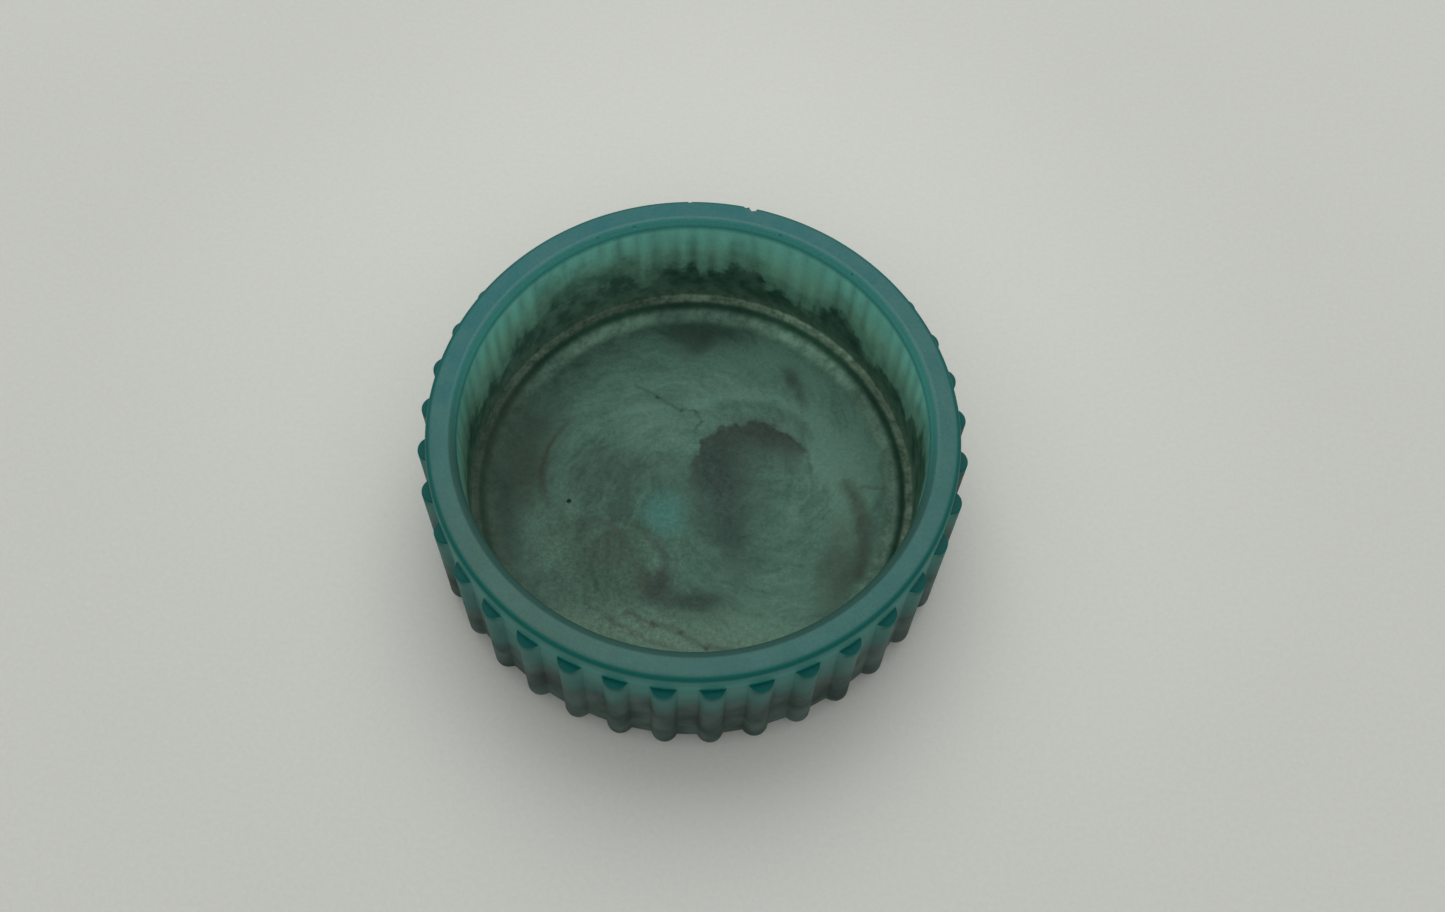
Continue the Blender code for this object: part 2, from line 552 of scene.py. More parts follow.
# %% [markdown]
# ## The resin: where each point lies
# The material reads Object coordinates, so the colours stay where they were poured if the dish is
# turned. From them come the height, the distance from the axis and the direction round it, and with
# those each zone of the casting can be told from the next. The wall runs from about 40 to 45 mm from
# the axis, so a fade in its middle tells inside from outside.

# %% Start the resin material
resin = bpy.data.materials.new("teal_resin")
resin.use_nodes = True
tree = resin.node_tree
shader = tree.nodes["Principled BSDF"]
object_place = tree.nodes.new('ShaderNodeTexCoord').outputs["Object"]
place_mm = vectors(tree, 'SCALE', object_place, scale=1.0 / MM)
split = tree.nodes.new('ShaderNodeSeparateXYZ')
wire(tree, split.inputs[0], place_mm)
side, depth, rise = split.outputs
flat_place = vectors(tree, 'MULTIPLY', place_mm, (1.0, 1.0, 0.0))
axis_gap = vectors(tree, 'LENGTH', flat_place)
around = vectors(tree, 'NORMALIZE', flat_place)
is_outside = fade(tree, axis_gap, 42.0, 43.0)
print(f"resin: {len(tree.nodes)} nodes tell where a point lies, in millimetres")

# %% Directions round the dish
def leaning(direction):
    """How well the way out from the axis agrees with a direction: 1 along it, 0 square to it."""
    return vectors(tree, 'DOT_PRODUCT', around, direction)


def near_bearing(bearing, half_width):
    """1 at a bearing, fading to 0 at half_width degrees to each side of it."""
    return fade(tree, leaning(compass(bearing)), cos(radians(half_width)), 1.0)


def along_edge(size, detail, rough=0.55):
    """Noise that changes round the dish only, with lumps about size millimetres long."""
    return clouds(tree, vectors(tree, 'SCALE', around, scale=40.0), size, detail, rough)


def report(step):
    """Say how far the resin has come."""
    print(f"{step}: the resin has {len(tree.nodes)} nodes")


report("directions")

# %% Ragged and stirred positions
def drift(size, detail, rough, amount):
    """A random shift of up to about half the amount each way, in millimetres."""
    noise = clouds(tree, flat_place, size, detail, rough, output="Color")
    return vectors(tree, 'SCALE', vectors(tree, 'SUBTRACT', noise, (0.5, 0.5, 0.5)), scale=amount)


ragged_place = vectors(tree, 'ADD', flat_place, drift(1.6, 3.0, 0.6, 1.6))
ragged_place = vectors(tree, 'ADD', ragged_place, drift(7.0, 2.0, 0.5, 2.2))
ragged_place = vectors(tree, 'MULTIPLY', ragged_place, (1.0, 1.0, 0.0))
stir = place_group(tree, stirred, position=flat_place, middle=(6.0, 1.0, 0.0), turn=1.7,
                   wobble=11.0)[0]
report("ragged and stirred positions")

# %% [markdown]
# ## The floor's clear resin
# Seen through the frosted floor, the teal is cloudy: lighter where there is little pigment, deeper
# where the resin is thick with it. Two sizes of noise on the stirred position give the streaks of the
# stir, and two on the ragged position make it curdle. A few broad patches and curls then place the
# lightest and deepest parts. They only add to one lightness, so they run into each other softly.

# %% How light the floor is
streaks = clouds(tree, stir, 7.0, 5.0, 0.62)
wisps = clouds(tree, stir, 2.2, 6.0, 0.7)
curdle = clouds(tree, ragged_place, 1.3, 5.0, 0.75)
blooms = clouds(tree, ragged_place, 4.5, 4.0, 0.6)
lightness = maths(tree, 'ADD', maths(tree, 'MULTIPLY', streaks, 1.3),
                  maths(tree, 'MULTIPLY', wisps, 1.2))
lightness = maths(tree, 'ADD', lightness, maths(tree, 'MULTIPLY', curdle, 0.6))
lightness = maths(tree, 'ADD', lightness, maths(tree, 'MULTIPLY', blooms, 0.5))
lightness = maths(tree, 'SUBTRACT', lightness, 1.37)
# The darker oval at (-26, 24), near the back left of the wall, is a painted reflection of the wall.
lightness = lay_patches(tree, flat_place, lightness, [
    (4, 22, 15, 7, 0, 0.8, 0.30), (-20, 14, 9, 7, 20, 0.8, 0.20), (27, 12, 8, 10, 20, 0.8, 0.50),
    (-7, 12, 7, 6, 0, 0.8, 0.28), (20, -5, 6, 14, 0, 0.8, 0.06), (5, -29, 26, 6, 0, 0.7, 0.45),
    (20, -22, 9, 7, 30, 0.7, 0.25), (-4.5, -5, 4.2, 4.2, 0, 0.8, 0.20),
    (-26, 24, 13, 5, 45, 0.8, -0.22), (-3, 32, 7, 3, 5, 0.8, -0.40), (17, 28, 8, 4, -32, 0.8, 0.40),
    (-16, 27, 7, 4, 32, 0.8, 0.18), (10, -10, 8, 8, 0, 0.9, -0.10), (-13, -4, 9, 9, 0, 0.9, -0.36),
    (29, -2, 4, 8, 0, 0.8, 0.35), (-13, -22, 12, 6, 0, 0.9, -0.14), (3, -20, 8, 5, 0, 0.9, -0.12),
    (-27, -11, 7, 6, 0, 0.9, 0.22), (-20, 9, 5, 4, 0, 0.9, -0.18), (10, 30, 4, 3, 0, 0.9, 0.20),
    (10, -19, 5, 4, 0, 0.9, 0.20), (30, 8, 4, 6, 0, 0.9, 0.20), (22, 9, 5, 4, 0, 0.9, 0.15)])
lightness = lay_curls(tree, ragged_place, lightness, [
    (9, 4, 16.5, 85, 60, 2.2, 0.26), (-12, 1.5, 12.0, 175, 60, 2.2, 0.20),
    (10, -6, 18.5, 8, 50, 2.0, 0.26), (-12, -16, 7.0, 60, 90, 1.4, 0.24)])
lightness = maths(tree, 'MINIMUM', maths(tree, 'MAXIMUM', lightness, 0.0), 1.0)
report("lightness of the floor")

# %% Colour the floor
deep_teal = (0.052, 0.108, 0.082)
pale_teal = (0.130, 0.256, 0.196)
clear_cyan = (0.065, 0.245, 0.210)
yellow_green = (0.160, 0.232, 0.170)
floor_colour = blend(tree, lightness, deep_teal, pale_teal)
cyan_spot = lay_patches(tree, ragged_place, 0.0, [(-4.5, -5.2, 4.0, 4.0, 0, 0.7, 0.5)])
floor_colour = blend(tree, cyan_spot, floor_colour, clear_cyan)
near_front = fade(tree, depth, -20.0, -32.0, 0.0, 0.6)
floor_colour = blend(tree, near_front, floor_colour, yellow_green)
grit = maths(tree, 'SUBTRACT', clouds(tree, flat_place, 0.9, 5.0, 0.85), 0.5)
grit_here = lay_patches(tree, flat_place, 0.70, [
    (-14, -16, 14, 11, -25, 0.8, 1.7), (8, 4, 13, 13, 0, 0.8, 0.5), (4, -29, 22, 5, 0, 0.8, 0.9)])
floor_colour = vectors(tree, 'SCALE', floor_colour,
                       scale=maths(tree, 'MULTIPLY_ADD', grit, grit_here, 1.0))
report("clear floor")

# %% [markdown]
# ## The floor's smoke
# The pigment has gone brown-grey where it is thin and blue-black where it is thick. So there are two
# densities. The largest mark is a cloud right of the middle with a scalloped upper edge, as ink has
# when it creeps into another liquid; its scallops are the rounded cells of a Voronoi texture. It
# leans up the floor: the part towards the front fades away.

# %% The scalloped cloud
cells = tree.nodes.new('ShaderNodeTexVoronoi')
cells.feature = 'F1'
wire(tree, cells.inputs["Vector"], ragged_place)
cells.inputs["Scale"].default_value = 1.0 / 2.3
scallop = maths(tree, 'MULTIPLY', cells.outputs["Distance"], 1.6)
from_cloud = vectors(tree, 'SUBTRACT', flat_place, (10.2, 3.9, 0.0))
cloud_gap = vectors(tree, 'LENGTH', from_cloud)
cloud_edge = maths(tree, 'ADD', maths(tree, 'ADD', cloud_gap, scallop),
                   maths(tree, 'MULTIPLY', blooms, 4.5))
cloud_body = fade(tree, cloud_edge, 14.5, 13.5)
cloud_rim = fade(tree, cloud_edge, 7.0, 12.8, 0.55, 1.0)
cloud_lean = fade(tree, vectors(tree, 'DOT_PRODUCT', from_cloud, (-0.25, 0.97, 0.0)), -4.0, 8.0)
cloud = maths(tree, 'MULTIPLY', maths(tree, 'MULTIPLY', cloud_body, cloud_rim), cloud_lean)
report("scalloped cloud")

# %% Blue-black smoke, and the pinhole's painted shade
pinhole_shade = (-21.9, -4.9, 0.45, 0.45, 0, 0.4, 0.9)
black_smoke_and_pinhole_shade = maths(tree, 'MULTIPLY', cloud, 0.52)
black_smoke_and_pinhole_shade = lay_patches(tree, ragged_place, black_smoke_and_pinhole_shade, [
    (4.4, 4.0, 4.4, 5.0, -25, 0.9, 0.34), (6.0, -1, 7.0, 6, 0, 0.9, 0.46),
    (9, -11, 3.2, 6.0, 20, 0.9, 0.30), (6, -8, 4.0, 6.5, 0, 0.9, 0.20),
    (2.5, -21.5, 4.8, 1.8, 8, 0.7, 0.60), (-4, -18.5, 1.8, 2.4, 15, 0.7, 0.45),
    (-5.5, -21.5, 1.4, 1.6, 0, 0.8, 0.40), (1.5, 33.5, 6.0, 1.8, 3, 0.9, 0.22),
    (-2, 29, 1.6, 3.2, -35, 0.8, 0.40), (15.5, 25, 1.0, 2.0, 10, 0.8, 0.50),
    (17.5, 21.5, 0.9, 2.8, 20, 0.8, 0.40), (-33, -9, 2.5, 8, 15, 0.8, 0.35),
    (-31, 2, 4, 9, 0, 0.9, 0.20), (-6, 17, 5, 1.8, -30, 0.9, 0.16), (-31, -15, 3, 8, 30, 0.8, 0.25)])
black_smoke_and_pinhole_shade = lay_threads(tree, ragged_place, black_smoke_and_pinhole_shade, [
    ([(-13, 20.3), (-8, 18), (-4, 15.4), (-1.2, 15.4), (0.2, 13.6), (-0.8, 12)], 0.65, 0.34)])
black_smoke_and_pinhole_shade = lay_curls(tree, ragged_place, black_smoke_and_pinhole_shade, [
    (9.5, 6, 12.6, 75, 55, 1.6, 0.20), (9.5, 3, 12.0, 10, 45, 0.7, 0.22)])
# The pinhole's painted shade, laid with the blue-black smoke.
black_smoke_and_pinhole_shade = lay_patches(tree, flat_place, black_smoke_and_pinhole_shade, [pinhole_shade])
report("blue-black smoke")

# %% Brown smoke
brown_smoke = maths(tree, 'MULTIPLY', cloud, 0.50)
brown_smoke = lay_patches(tree, ragged_place, brown_smoke, [
    (12, 13, 7, 3.0, -5, 0.7, 0.25), (-23, -9, 4.5, 5.5, 10, 0.8, 0.12),
    (-19, -17, 12, 8, -25, 0.8, 0.20), (-31, 4, 4.5, 10, -8, 0.8, 0.55),
    (-12, -13, 6, 6, 0, 0.9, 0.30), (27.5, -12, 3.2, 8.5, -5, 0.8, 0.52),
    (24, -17, 5, 4, -30, 0.9, 0.06), (-3, 31.0, 5, 3.0, 0, 0.9, 0.16),
    (-5, -19.5, 3.5, 3, 0, 0.8, 0.40), (16.5, 24, 1.8, 3.5, 20, 0.8, 0.28),
    (-16, 2, 8, 3, 10, 0.9, 0.22), (4, -22, 8, 3, 5, 0.9, 0.28), (-30, -4, 3, 5, 0, 0.9, 0.2)])
brown_smoke = lay_curls(tree, ragged_place, brown_smoke, [
    (-12, 1.5, 15.5, 175, 42, 1.1, 0.40), (10, -9, 21.9, 12, 30, 2.4, 0.58),
    (33, -1.5, 5.5, 70, 60, 0.8, 0.34), (-13, -17, 9.5, 30, 50, 1.6, 0.30),
    (-17, -14, 6.0, 80, 80, 1.1, 0.22)])
brown_smoke = lay_threads(tree, ragged_place, brown_smoke, [
    ([(-9, -25.0), (-4, -26.6), (1, -27.6), (6, -29.4), (12, -30.2)], 1.0, 0.40),
    ([(-16, -24), (-8, -28.5), (0, -30.6)], 0.9, 0.30)])
report("brown smoke")

# %% Lay the smoke in the floor
brown_pigment = (0.056, 0.060, 0.042)
black_pigment = (0.026, 0.038, 0.038)
thin_places = maths(tree, 'ADD', maths(tree, 'MULTIPLY_ADD', wisps, 1.1, -0.35),
                    maths(tree, 'MULTIPLY', curdle, 1.5))
black_smoke_and_pinhole_shade = maths(tree, 'MULTIPLY', black_smoke_and_pinhole_shade, thin_places, clamp=True)
brown_smoke = maths(tree, 'MULTIPLY', brown_smoke, thin_places, clamp=True)
floor_colour = blend(tree, brown_smoke, floor_colour, brown_pigment)
floor_colour = blend(tree, black_smoke_and_pinhole_shade, floor_colour, black_pigment)
report("smoky floor")

# %% [markdown]
# ## Smoke in the wall
# The dark pigment sank while the resin was wet, so the lower wall is full of it and its upper edge
# is ragged, with peaks where it clung to the mould. The height of that edge is worked out by
# direction from the axis: a mean height, some noise, and a few peaks and dips. Below the edge the
# smoke is thick, a little above it there is still thin smoke, and at the back left a haze hangs
# higher still.

# %% How high the smoke stands
lowest_top = 8.5
top_unevenness = 13.0
peaks = [(84, 9, 4.5), (133, 12, 4.5), (120, 9, 3.0), (53, 9, 3.2), (30, 8, 1.2), (13, 9, 5.0),
         (100, 8, 3.0), (150, 8, 2.0), (113, 4, 2.0), (106, 4, 1.0), (94, 5, 3.0), (67, 6, -1.8),
         (0, 13, 9.0), (178, 12, 4.0), (-85, 30, 1.5), (-135, 20, -3.0)]
edge_noise = along_edge(7.0, 4.0, 0.6)
smoke_top = maths(tree, 'MULTIPLY_ADD', edge_noise, top_unevenness, lowest_top)
for bearing, half_width, extra_height in peaks:
    smoke_top = maths(tree, 'MULTIPLY_ADD', near_bearing(bearing, half_width), extra_height, smoke_top)
print(f"smoke stands about {lowest_top + top_unevenness / 2:.0f} mm high, "
      f"with {len(peaks)} peaks and dips")

# %% Feather its edge
lumps = clouds(tree, place_mm, 4.0, 6.0, 0.62)
specks = clouds(tree, place_mm, 1.2, 5.0, 0.7)
drips = clouds(tree, vectors(tree, 'MULTIPLY', place_mm, (1.0, 1.0, 0.15)), 2.0, 4.0, 0.6)
feather = maths(tree, 'ADD', maths(tree, 'MULTIPLY', lumps, 9.0), maths(tree, 'MULTIPLY', drips, 7.0))
feather = maths(tree, 'MULTIPLY_ADD', specks, 3.0, feather)
mean_feather = 9.5
under_edge = maths(tree, 'SUBTRACT', maths(tree, 'ADD', smoke_top, feather),
                   maths(tree, 'ADD', rise, mean_feather))
thick_smoke = fade(tree, under_edge, -2.0, 4.0)
thin_smoke = fade(tree, under_edge, -8.0, 1.5, 0.0, 0.50)
wall_smoke = maths(tree, 'MAXIMUM', thick_smoke, thin_smoke)
haze_side = fade(tree, leaning((-0.530, 0.848, 0.0)), 0.88, 0.98)
left_haze = maths(tree, 'MULTIPLY', haze_side, fade(tree, under_edge, -9.0, 1.0, 0.0, 0.80))
wall_smoke = maths(tree, 'MAXIMUM', wall_smoke, left_haze)
report("smoke in the wall")

# %% [markdown]
# ## Light through the wall
# Light comes through the frosted wall from outside. A rib gathers it like a lens, and so does the
# flat between two ribs, but the steep sides of a rib throw it aside. On the inside that shows as
# upright light bands with narrow dark lines at a rib's sides. The sides stand a quarter pitch from
# the rib's middle, so a cosine that runs twice to a pitch falls on them. All of this light is painted
# into the inner wall's colour: the wall is painted far brighter than the resin, in bands, with
# painted shade at the front and sides.

# %% The clear part of the inner wall, with its painted light
# These bright teals are the resin's tint with the light through the wall painted in.
green_with_painted_glow = (0.240, 0.530, 0.390)
teal_with_painted_glow = (0.205, 0.570, 0.460)
under_rim_teal_with_painted_glow = (0.080, 0.350, 0.310)
bearing = maths(tree, 'ARCTAN2', depth, side)
band_wobble = maths(tree, 'MULTIPLY_ADD', edge_noise, 0.05, bearing)
band = maths(tree, 'COSINE', maths(tree, 'MULTIPLY', band_wobble, 2.0 * rib_count))
band = maths(tree, 'POWER', maths(tree, 'MULTIPLY_ADD', band, 0.5, 0.5), 0.6)
wall_streaks = clouds(tree, vectors(tree, 'MULTIPLY', place_mm, (1.0, 1.0, 0.12)), 2.8, 3.0)
band_depth = maths(tree, 'MULTIPLY', fade(tree, clouds(tree, place_mm, 7.0, 2.0), 0.3, 0.65, 0.08, 0.34),
                   fade(tree, rise, 30.0, 27.5, 0.4, 1.0))
glow = maths(tree, 'MULTIPLY_ADD', maths(tree, 'SUBTRACT', band, 0.75), band_depth,
             maths(tree, 'MULTIPLY_ADD', wall_streaks, 0.40, 0.80))
# Painted shade: the painted glow is lower at the front and sides of the wall than at the back.
glow = maths(tree, 'MULTIPLY', glow, fade(tree, leaning((0.0, 1.0, 0.0)), 0.0, 0.36, 0.62, 1.0))
painted_glow_wall = blend(tree, fade(tree, rise, 19.0, 27.0), green_with_painted_glow, teal_with_painted_glow)
painted_glow_wall = blend(tree, fade(tree, rise, 28.5, 29.9), painted_glow_wall, under_rim_teal_with_painted_glow)
painted_glow_wall = vectors(tree, 'SCALE', painted_glow_wall, scale=glow)
report("clear inner wall")

# %% The smoky part of the inner wall
foot_mottle = clouds(tree, place_mm, 1.8, 5.0, 0.7)
wall_foot = blend(tree, fade(tree, foot_mottle, 0.3, 0.7), (0.056, 0.122, 0.080), (0.155, 0.245, 0.178))
wall_black = blend(tree, fade(tree, lumps, 0.35, 0.65), (0.078, 0.158, 0.110), (0.024, 0.080, 0.052))
left_veil = blend(tree, fade(tree, lumps, 0.38, 0.60), (0.136, 0.252, 0.192), (0.062, 0.136, 0.100))
left_back = fade(tree, leaning((-0.72, 0.69, 0.0)), 0.75, 0.97, 0.0, 0.8)
wall_black = blend(tree, left_back, wall_black, left_veil)
wall_black = blend(tree, fade(tree, rise, 11.5, 6.8, 0.0, 0.80), wall_black, wall_foot)
wall_colour = blend(tree, wall_smoke, painted_glow_wall, wall_black)
report("inner wall")

# %% [markdown]
# ## Ledge and cove
# At the foot of the wall the ledge and the lower part of the cove catch the light, and the steep
# part between them is darker. How brightly they catch it changes round the dish, so both start from
# one slow noise and are then raised or lowered by direction. The left side lies in thick smoke.

# %% How light falls on them
ring_light = maths(tree, 'MULTIPLY_ADD', along_edge(9.0, 2.0), 0.5, 0.70)
ledge_light = ring_light
lights_and_shades = [
    (60, 22, 0.68, 0.75), (122, 20, 0.36, -0.24), (150, 16, 0.05, 0.05),
    (195, 45, -0.45, -0.35), (-10, 35, -0.20, -0.10), (90, 12, 0.14, 0.24)]
for bearing, half_width, on_ring, on_ledge in lights_and_shades:
    near = near_bearing(bearing, half_width)
    ring_light = maths(tree, 'MULTIPLY_ADD', near, on_ring, ring_light)
    ledge_light = maths(tree, 'MULTIPLY_ADD', near, on_ledge, ledge_light)
print(f"{len(lights_and_shades)} lights and shades round the floor")

# %% The ring round the floor
ring_mottle = fade(tree, foot_mottle, 0.3, 0.7)
ring_pale = blend(tree, ring_mottle, (0.100, 0.180, 0.128), (0.190, 0.330, 0.250))
ring_dark = blend(tree, foot_mottle, (0.004, 0.042, 0.022), (0.040, 0.096, 0.066))
ledge_pale = blend(tree, ring_mottle, (0.075, 0.130, 0.086), (0.240, 0.340, 0.250))
ring_smoke = blend(tree, foot_mottle, (0.030, 0.060, 0.040), (0.085, 0.125, 0.095))
ring_colour = blend(tree, fade(tree, axis_gap, 36.6, 37.9), ring_pale, ring_dark)
ring_colour = vectors(tree, 'SCALE', ring_colour, scale=ring_light)
ledge_colour = vectors(tree, 'SCALE', ledge_pale, scale=ledge_light)
ring_colour = blend(tree, fade(tree, axis_gap, 38.1, 38.9), ring_colour, ledge_colour)
smoky_side = fade(tree, leaning((-0.996, -0.087, 0.0)), 0.70, 0.95, 0.0, 0.65)
ring_colour = blend(tree, smoky_side, ring_colour, ring_smoke)
inner_low = blend(tree, fade(tree, axis_gap, 34.0, 35.9), floor_colour, ring_colour)
inside_colour = blend(tree, fade(tree, rise, 6.3, 7.2), inner_low, wall_colour)
report("inside")

# %% [markdown]
# ## The outside
# Outside, the gaps between the ribs are a clear milky teal that goes smoky further down. The teal is
# painted lighter than the resin, as painted light that comes through the wall, and lighter still on
# the neck just above the ribs, where painted light fills the corner. The ribs' flat tops are painted
# the deepest colour on the dish, as painted shade under the rim and a painted dark reflection.

# %% The outer wall
on_rib = fade(tree, axis_gap, 45.25, 46.3)
# Painted light: the neck grows lighter towards the rib tops, filling the shade of the corner.
clear_outside_painted_glow = blend(tree, fade(tree, rise, 29.6, 27.4), (0.048, 0.190, 0.162), (0.054, 0.235, 0.206))
clear_outside_painted_glow = blend(tree, fade(tree, rise, 27.1, 26.6), clear_outside_painted_glow, (0.066, 0.208, 0.180))
rib_front = blend(tree, fade(tree, rise, 26.9, 24.4), (0.002, 0.092, 0.076), (0.056, 0.156, 0.136))
clear_outside_painted_glow = blend(tree, on_rib, clear_outside_painted_glow, rib_front)
clear_outside_painted_glow = blend(tree, fade(tree, rise, 24.5, 20.0, 0.0, 0.55), clear_outside_painted_glow, (0.048, 0.130, 0.112))
outer_lumps = clouds(tree, place_mm, 6.5, 3.0, 0.55)
outer_edge = maths(tree, 'SUBTRACT', maths(tree, 'MULTIPLY_ADD', outer_lumps, 7.0, smoke_top), rise)
outer_smoke = fade(tree, outer_edge, -2.5, 5.0)
smoky_outside = blend(tree, fade(tree, outer_lumps, 0.3, 0.7),
                      (0.028, 0.050, 0.043), (0.074, 0.116, 0.101))
outer_colour = blend(tree, outer_smoke, clear_outside_painted_glow, smoky_outside)
# Painted shade and dark reflection: the flat tops of the ribs are painted deep teal.
rib_top_painted_shade = maths(tree, 'MULTIPLY', fade(tree, rise, 26.74, 26.86), fade(tree, rise, 27.10, 27.03))
rib_top_painted_shade = maths(tree, 'MULTIPLY', rib_top_painted_shade, fade(tree, axis_gap, 45.0, 45.2))
outer_colour = blend(tree, rib_top_painted_shade, outer_colour, (0.000, 0.102, 0.092))
report("outer wall")

# %% [markdown]
# ## The rim
# The rim's top is an even teal, bluer at the back and greener at the front left. A fine dark line
# of painted dark reflection runs round its outer edge. At the back, a painted highlight runs round
# the inner edge. Where that edge turns down it is painted as shade in front and teal at the back,
# and it sits a little further in at the back than in front. Below it, at the back, lies another
# painted highlight.

# %% The top of the rim
blue_back = fade(tree, leaning((-0.45, 0.89, 0.0)), -0.6, 0.8)
green_left = fade(tree, leaning((0.95, -0.3, 0.0)), 0.9, -0.9)
rim_cloud = fade(tree, clouds(tree, place_mm, 6.0, 4.0, 0.6), 0.35, 0.7, 0.0, 0.5)
front_teal = blend(tree, green_left, (0.055, 0.158, 0.144), (0.078, 0.150, 0.118))
rim_colour = blend(tree, blue_back, front_teal, (0.038, 0.162, 0.166))
rim_colour = blend(tree, rim_cloud, rim_colour, (0.075, 0.185, 0.168))
report("top of the rim")

# %% The painted light and shade along its edges
back_side = fade(tree, depth, -15.0, 15.0)
# Painted highlight on the inner edge's rounding, at the back only.
painted_highlight_line = maths(tree, 'MULTIPLY', fade(tree, axis_gap, 41.5, 41.25), fade(tree, axis_gap, 40.75, 41.0))
painted_highlight_line = maths(tree, 'MULTIPLY', painted_highlight_line, maths(tree, 'MULTIPLY', back_side, 0.8))
rim_colour = blend(tree, painted_highlight_line, rim_colour, (0.075, 0.205, 0.190))
# Painted shade in front and teal at the back, where the inner edge turns down.
inner_edge_light_and_shade = blend(tree, back_side, (0.028, 0.082, 0.070), (0.032, 0.185, 0.158))
inner_line_starts = fade(tree, depth, -15.0, 15.0, 41.3, 40.8)
inner_line_full = fade(tree, depth, -15.0, 15.0, 40.8, 40.45)
rim_colour = blend(tree, fade(tree, axis_gap, inner_line_starts, inner_line_full), rim_colour, inner_edge_light_and_shade)
# Painted highlight below the inner edge, at the back.
low_painted_highlight = maths(tree, 'MULTIPLY', fade(tree, axis_gap, 40.4, 39.85), back_side)
rim_colour = blend(tree, low_painted_highlight, rim_colour, (0.050, 0.250, 0.222))
# Painted dark reflection along the rim's outer rounding.
outer_painted_reflection_line = maths(tree, 'MULTIPLY', fade(tree, axis_gap, 43.85, 44.5), fade(tree, rise, 29.8, 30.4))
rim_colour = blend(tree, outer_painted_reflection_line, rim_colour, (0.004, 0.108, 0.090))
is_rim = blend(tree, is_outside, fade(tree, rise, 29.75, 30.0), fade(tree, rise, 29.5, 30.3))
report("rim")

# %% Put the zones together
skin_colour = blend(tree, is_outside, inside_colour, outer_colour)
skin_colour = blend(tree, is_rim, skin_colour, rim_colour)
skin_colour = blend(tree, fade(tree, rise, 0.6, 0.1), skin_colour, smoky_outside)
grain = clouds(tree, place_mm, 0.40, 3.0, 0.7)
skin_colour = vectors(tree, 'SCALE', skin_colour, scale=maths(tree, 'MULTIPLY_ADD', grain, 0.50, 0.75))
wire(tree, shader.inputs["Base Color"], skin_colour)
report("all zones")

# %% [markdown]
# ## The frosted surface
# The mould's skin leaves a fine frost, so highlights are broad and weak. It is rougher where the
# frost is thick and smoother where fingers and the mould rubbed it. The same noise lifts the surface
# a few hundredths of a millimetre, and a slow unevenness under it keeps reflections from being exact.

# %% Roughness and bump
rubbed = clouds(tree, place_mm, 11.0, 4.0, 0.6)
frost = fade(tree, rubbed, 0.3, 0.7, 0.44, 0.60)
frost = maths(tree, 'MULTIPLY_ADD', grain, 0.08, frost)
frost = maths(tree, 'MULTIPLY_ADD', rib_top_painted_shade, -0.25, frost)
wire(tree, shader.inputs["Roughness"], frost)
unevenness = clouds(tree, place_mm, 5.0, 2.0)
lift = maths(tree, 'MULTIPLY_ADD', unevenness, 1.5, maths(tree, 'MULTIPLY', grain, 0.4))
bump = tree.nodes.new('ShaderNodeBump')
bump.inputs["Strength"].default_value = 0.5
bump.inputs["Distance"].default_value = 0.05 * MM
wire(tree, bump.inputs["Height"], lift)
wire(tree, shader.inputs["Normal"], bump.outputs[0])
shader.inputs["IOR"].default_value = 1.5
shader.inputs["Specular IOR Level"].default_value = 0.1
print(f"resin: {len(tree.nodes)} nodes")

# %% Give the dish its finish
dish.data.materials.clear()
dish.data.materials.append(resin)
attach(dish, "root")
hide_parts("cast_dish")
print("the dish replaces cast_dish")

# %% [markdown]
# ## The mat
# The dish stands on a pale mat. A big plane does for it. A faint weave keeps it from being one flat
# colour, and it is a little lighter round the dish and behind it, where light that has come through
# the resin falls. That light could be left to the renderer, but the resin here isn't see-through.

# %% Lay the mat
bpy.ops.object.select_all(action='DESELECT')
bpy.ops.mesh.primitive_plane_add(size=6.0, location=(0, 0, 0))
mat = bpy.context.object
mat.name = "table_mat"
mat_finish = bpy.data.materials.new("pale_mat")
mat_finish.use_nodes = True
mat_tree = mat_finish.node_tree
mat_shader = mat_tree.nodes["Principled BSDF"]
mat_object_place = mat_tree.nodes.new('ShaderNodeTexCoord').outputs["Object"]
mat_place = vectors(mat_tree, 'SCALE', mat_object_place, scale=1.0 / MM)
threads = clouds(mat_tree, mat_place, 0.9, 4.0, 0.8)
wide_stains = clouds(mat_tree, mat_place, 60.0, 2.0)
weave = maths(mat_tree, 'ADD', maths(mat_tree, 'MULTIPLY', threads, 0.22),
              maths(mat_tree, 'MULTIPLY', wide_stains, 0.05))
glow_middle = (0.0, 25.0, 0.0)
from_glow = vectors(mat_tree, 'LENGTH', vectors(mat_tree, 'SUBTRACT', mat_place, glow_middle))
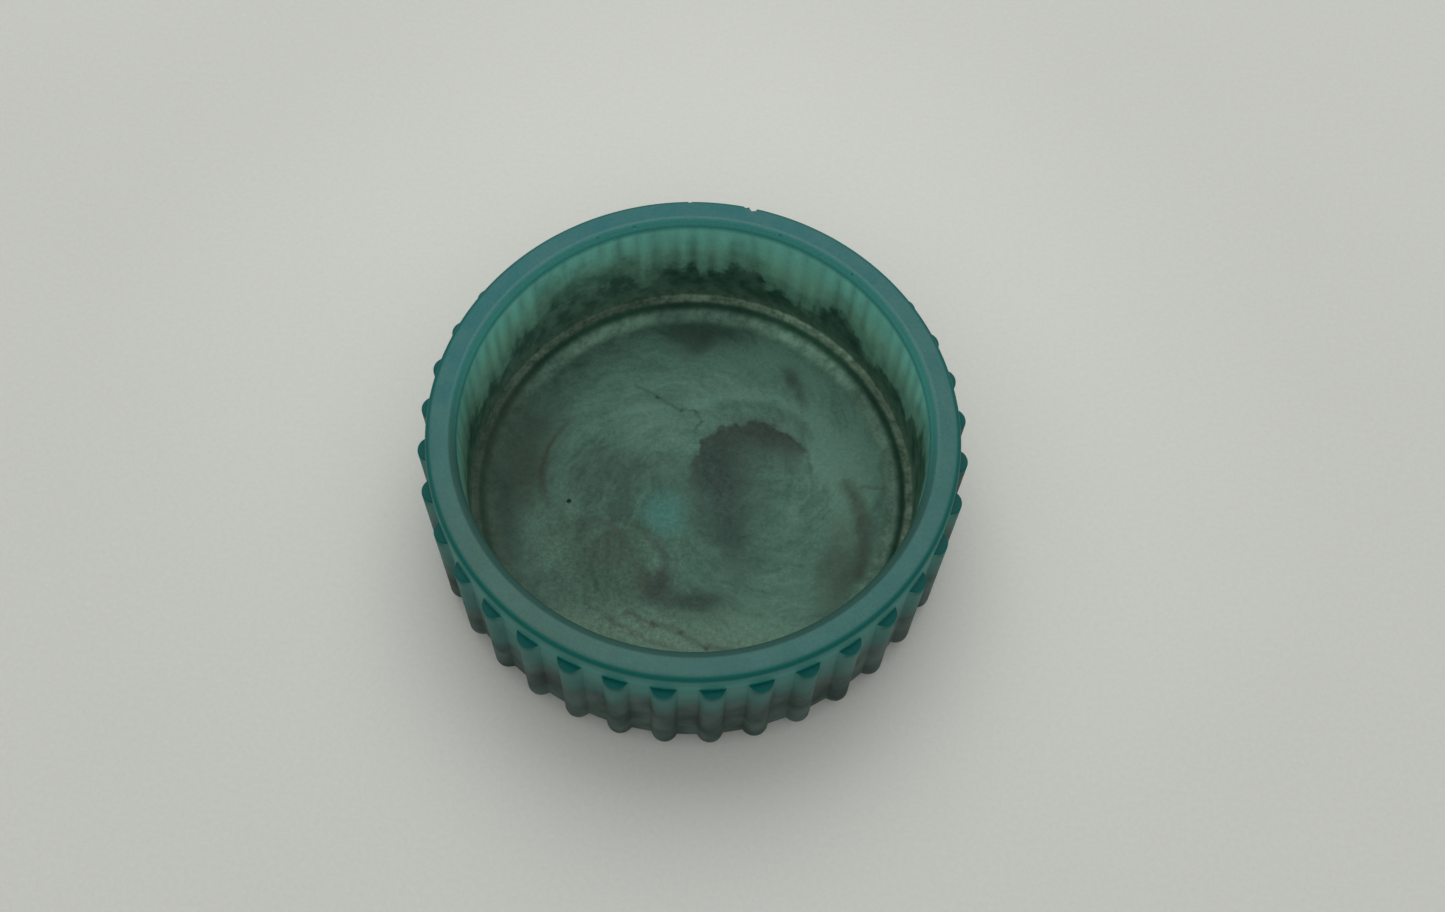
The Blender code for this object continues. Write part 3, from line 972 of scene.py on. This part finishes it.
glow_on_mat = fade(mat_tree, from_glow, 130.0, 40.0, 0.94, 1.08)
pale_grey = (0.610, 0.610, 0.573)
mat_colour = vectors(mat_tree, 'SCALE', pale_grey, scale=maths(mat_tree, 'ADD', weave, glow_on_mat))
wire(mat_tree, mat_shader.inputs["Base Color"], mat_colour)
mat_shader.inputs["Roughness"].default_value = 0.8
mat.data.materials.append(mat_finish)
mat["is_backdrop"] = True
print(f"mat {mat.dimensions.x:.0f} m square, {len(mat_tree.nodes)} nodes")

# %% [markdown]
# ## The light
# The room is evenly bright, as beside a big window under a white ceiling, so nearly all of the light
# comes from everywhere. One wide soft box hangs behind the dish and throws the weak shadow in front
# of it. A stronger lamp would draw hard streaks along the ribs, and this casting shows none.

# %% Hang the light
light_data = bpy.data.lights.new("soft_box", 'AREA')
light_data.shape = 'RECTANGLE'
light_data.size = 1.0
light_data.size_y = 0.8
light_data.energy = 4.0
light_data.color = (1.0, 1.0, 0.98)
light = bpy.data.objects.new("soft_box", light_data)
bpy.context.scene.collection.objects.link(light)
light.location = (-0.05, 0.55, 0.95)
light.rotation_mode = 'QUATERNION'
light.rotation_quaternion = (-light.location).to_track_quat('-Z', 'Y')
light.visible_camera = False
print(f"soft box {light.location.length:.2f} m from the dish, {light_data.energy:.0f} W")

# %% Light the room
world = bpy.data.worlds.new("room")
bpy.context.scene.world = world
world.use_nodes = True
background = world.node_tree.nodes["Background"]
background.inputs["Color"].default_value = (0.98, 1.0, 1.0, 1)
background.inputs["Strength"].default_value = 0.585
bpy.context.scene.view_settings.view_transform = 'Standard'
print("room lit evenly; colours are shown as they are")

# %% [markdown]
# ## Compare the sizes
# The new dish must fill the same space as the measured one, so both boxes are printed side by side
# before the lesson ends.

# %% Compare the boxes
bpy.context.view_layer.update()
new_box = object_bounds()
for name, box in (("measured", cad_box), ("new", new_box)):
    size = [(box[1][i] - box[0][i]) / MM for i in range(3)]
    print(f"{name} model: {size[0]:.2f} x {size[1]:.2f} x {size[2]:.2f} mm")
